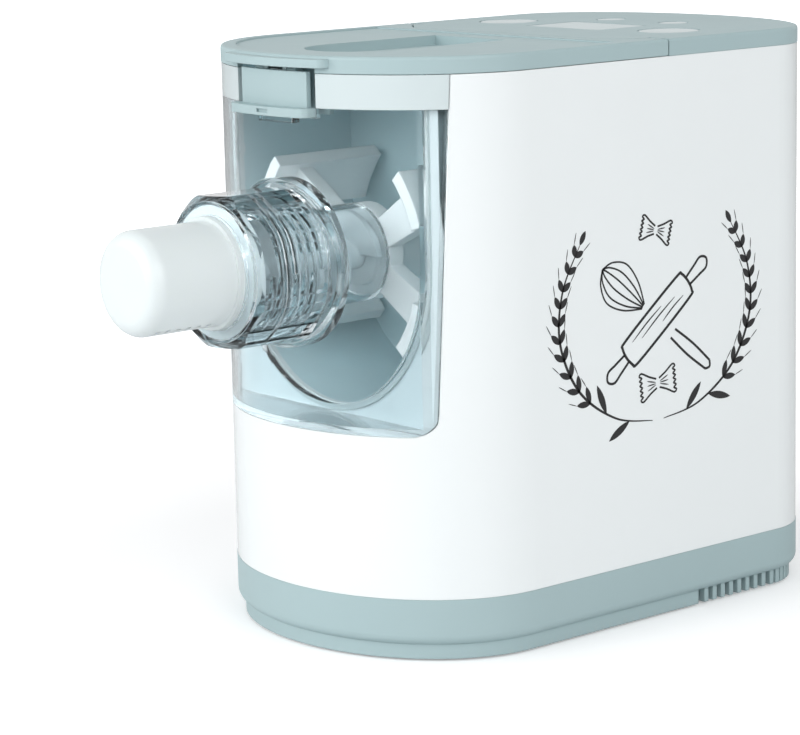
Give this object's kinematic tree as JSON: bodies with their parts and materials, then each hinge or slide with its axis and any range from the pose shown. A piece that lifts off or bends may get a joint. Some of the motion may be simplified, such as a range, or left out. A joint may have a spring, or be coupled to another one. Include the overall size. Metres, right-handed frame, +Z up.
{
  "type": "electric pasta maker",
  "caption": "Countertop electric pasta maker: rounded casing with a see-through front cover, mixing paddle, extrusion screw, screw-on ring nut and die, hinged lid and latch.",
  "frame": {"origin": "on the standing surface, under the middle of the bounding box", "axes": "+Z up, -Y towards the nozzle at the front, +X to the right of a viewer facing the nozzle"},
  "size_m": [0.202, 0.4052, 0.3],
  "materials": {
    "casing_white": "smooth glossy moulded plastic, cool white",
    "trim_grey": "satin gloss moulded plastic, cool grey",
    "band_grey": "satin moulded plastic, pale grey",
    "frame_white": "moulded plastic, white",
    "chamber_grey": "moulded plastic, grey",
    "silicone": "translucent silicone rubber",
    "rubber": "moulded rubber, dark",
    "clear_plastic": "clear moulded plastic",
    "clear_nut": "clear moulded plastic, faceted",
    "die_white": "slightly translucent food grade plastic",
    "paddle_white": "food grade plastic, white",
    "steel": "turned steel",
    "zinc_steel": "zinc plated pressed steel",
    "rotor_steel": "laminated steel and shaft",
    "brass": "turned brass",
    "bronze": "sintered bronze",
    "nylon": "natural nylon",
    "magnet": "sintered ferrite",
    "black_plastic": "moulded plastic, black",
    "display_glass": "tinted clear window",
    "display_dark": "display module",
    "button_grey": "satin moulded plastic, pale grey",
    "board_green": "solder masked board",
    "component_black": "moulded electronic parts"
  },
  "bodies": {
    "root": {"outer_casing": "casing_white", "base_tray": "trim_grey", "bottom_plate": "trim_grey", "vent_plate": "trim_grey", "rubber_feet": "rubber", "base_screws": "steel", "power_inlet": "black_plastic", "inlet_pins": "brass", "inlet_bracket": "black_plastic", "mixing_chamber": "chamber_grey", "chamber_frame": "frame_white", "chamber_seal": "silicone", "layshaft_axle": "steel", "gearbox_housing": "black_plastic", "gearbox_cover": "black_plastic", "shaft_bearings": "bronze", "shaft_seal": "rubber", "motor_can": "zinc_steel", "motor_cap": "zinc_steel", "motor_bushes": "bronze", "motor_magnets": "magnet", "motor_bracket": "black_plastic", "motor_straps": "zinc_steel", "lid_hinge_pins": "steel", "rear_panel": "trim_grey", "display_window": "display_glass", "display_screen": "display_dark", "switch_domes": "silicone", "control_board": "board_green", "board_screws": "steel", "power_board": "board_green", "board_pillars": "black_plastic", "board_components": "component_black", "lid_switch": "black_plastic"},
    "lid": {"front_lid": "trim_grey", "latch_pin": "steel", "latch_spring": "steel"},
    "latch": {"latch_handle": "trim_grey"},
    "cover": {"front_cover": "clear_plastic", "cover_top_band": "band_grey"},
    "die": {"pasta_die": "die_white", "die_seal": "silicone"},
    "nut": {"ring_nut": "clear_nut"},
    "shaft": {"drive_shaft": "steel", "extrusion_auger": "paddle_white", "mixing_paddle": "paddle_white", "output_gear": "nylon"},
    "layshaft": {"layshaft_gear": "nylon"},
    "rotor": {"motor_rotor": "rotor_steel", "motor_pinion": "brass", "cooling_fan": "black_plastic"},
    "power_key": {"power_button": "button_grey"},
    "start_key": {"start_button": "button_grey"},
    "mode_key": {"mode_button": "button_grey"},
    "weight_key": {"weight_button": "button_grey"}
  },
  "joints": [
    {"name": "lid_hinge", "type": "hinge", "parent": "root", "child": "lid", "pos_m": [0, 0.06165, 0.2978], "axis": [-1, 0, 0], "range_deg": [0, 80]},
    {"name": "latch_hinge", "type": "hinge", "parent": "lid", "child": "latch", "pos_m": [0, -0.10515, 0.291], "axis": [-1, 0, 0], "range_deg": [0, 20], "stiffness_Nm_per_rad": 0.4, "springref_deg": -8.59},
    {"name": "cover_slide", "type": "slide", "parent": "root", "child": "cover", "axis": [0, -1, 0], "range_m": [0, 0.09]},
    {"name": "die_slide", "type": "slide", "parent": "cover", "child": "die", "axis": [0, -1, 0], "range_m": [0, 0.0102]},
    {"name": "nut_turn", "type": "hinge", "parent": "die", "child": "nut", "pos_m": [0, -0.12265, 0.1956], "axis": [0, -1, 0], "range_deg": [0, 720]},
    {"name": "shaft_spin", "type": "hinge", "parent": "root", "child": "shaft", "pos_m": [0, -0.04265, 0.1956], "axis": [0, 1, 0], "continuous": true},
    {"name": "layshaft_spin", "type": "hinge", "parent": "root", "child": "layshaft", "pos_m": [0, 0.01735, 0.1326], "axis": [0, 1, 0], "continuous": true},
    {"name": "rotor_spin", "type": "hinge", "parent": "root", "child": "rotor", "pos_m": [0, 0.07735, 0.0966], "axis": [0, 1, 0], "continuous": true},
    {"name": "power_press", "type": "slide", "parent": "root", "child": "power_key", "axis": [0, 0, -1], "range_m": [0, 0.0015], "stiffness_N_per_m": 400, "springref_m": -0.0015},
    {"name": "start_press", "type": "slide", "parent": "root", "child": "start_key", "axis": [0, 0, -1], "range_m": [0, 0.0015], "stiffness_N_per_m": 400, "springref_m": -0.0015},
    {"name": "mode_press", "type": "slide", "parent": "root", "child": "mode_key", "axis": [0, 0, -1], "range_m": [0, 0.0015], "stiffness_N_per_m": 400, "springref_m": -0.0015},
    {"name": "weight_press", "type": "slide", "parent": "root", "child": "weight_key", "axis": [0, 0, -1], "range_m": [0, 0.0015], "stiffness_N_per_m": 400, "springref_m": -0.0015}
  ],
  "couplings": [
    {"joint": "die_slide", "follows": "nut_turn", "m_per_rad": 0.00079577},
    {"joint": "layshaft_spin", "follows": "shaft_spin", "ratio": -4},
    {"joint": "rotor_spin", "follows": "shaft_spin", "ratio": 12}
  ]
}
